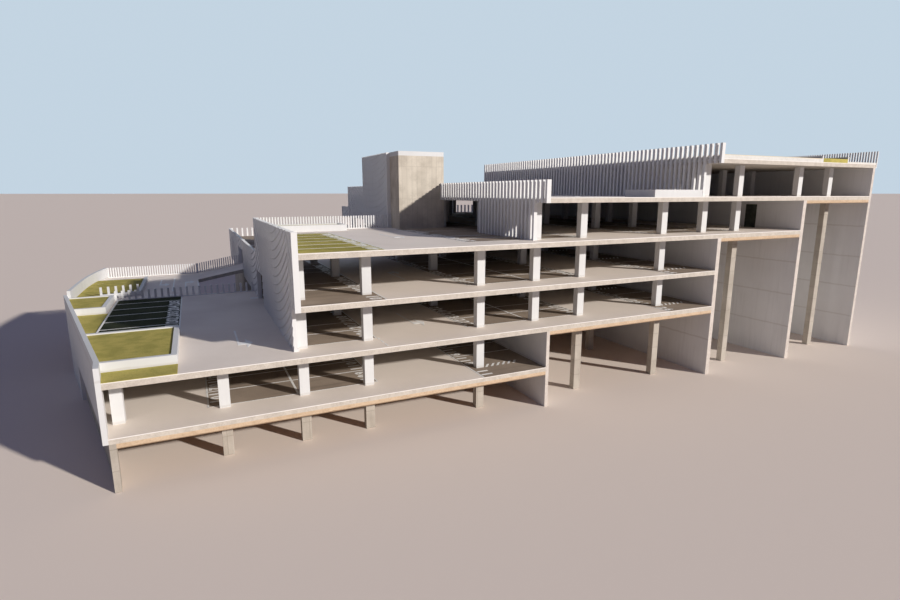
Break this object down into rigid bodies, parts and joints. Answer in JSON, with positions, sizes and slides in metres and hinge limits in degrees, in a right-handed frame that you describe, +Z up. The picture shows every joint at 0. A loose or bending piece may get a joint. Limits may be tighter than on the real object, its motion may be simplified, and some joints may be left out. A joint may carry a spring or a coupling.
{
  "type": "multi storey car park, 1:2 scale model",
  "caption": "Parking levels stepping up a hillside behind rippled screens of white fins, with a concrete stair tower, cut open along the front; scale model at 1:2",
  "frame": {"origin": "on the level that the foundations stand on, under the middle of the building's bounding box", "axes": "+X uphill, along the parking bays; +Y from the cut front towards the back; +Z up"},
  "size_m": [35.16, 27.75, 9.6],
  "materials": {
    "floor_concrete": "power-floated concrete, matte",
    "white_render": "smooth white painted concrete",
    "foundation_concrete": "cast concrete, formwork left rough",
    "white_fins": "satin white paint",
    "blinding": "rough lean concrete",
    "tower_concrete": "board-marked concrete",
    "dark_panel": "dark satin paint",
    "planting_bed": "soil with a green cover"
  },
  "bodies": {
    "root": {"lowest_floor": "floor_concrete", "level_1_floor": "floor_concrete", "level_2_floor": "floor_concrete", "level_3_floor": "floor_concrete", "level_4_floor": "floor_concrete", "roof_slab": "floor_concrete", "roof_layers": "floor_concrete", "blinding": "blinding", "terrace_foundation": "foundation_concrete", "access_deck_walls": "foundation_concrete", "rear_foundation": "foundation_concrete", "lower_wall": "white_render", "middle_wall": "white_render", "upper_wall": "white_render", "top_wall": "white_render", "wall_door": "dark_panel", "foundation_piers": "foundation_concrete", "lowest_columns": "white_render", "level_1_columns": "white_render", "level_2_columns": "white_render", "level_3_columns": "white_render", "level_4_columns": "white_render", "left_facade": "white_render", "front_planter": "white_render", "corner_planter": "white_render", "planting_beds": "planting_bed", "deck_fence": "white_fins", "access_deck": "floor_concrete", "curved_parapet": "white_render", "garden_kerb": "white_render", "access_fence": "white_fins", "access_ramp": "floor_concrete", "ramp_fence": "white_fins", "wave_facade": "white_fins", "rear_facade": "white_fins", "level_3_fence": "white_fins", "tower_walls": "tower_concrete", "tower_fins": "white_fins", "tower_cap": "white_render", "level_4_parapet": "white_fins", "side_screen": "white_fins", "top_facade": "white_fins", "upper_planters": "white_render", "roof_end_fence": "white_fins", "back_screens": "white_fins"}
  },
  "joints": []
}
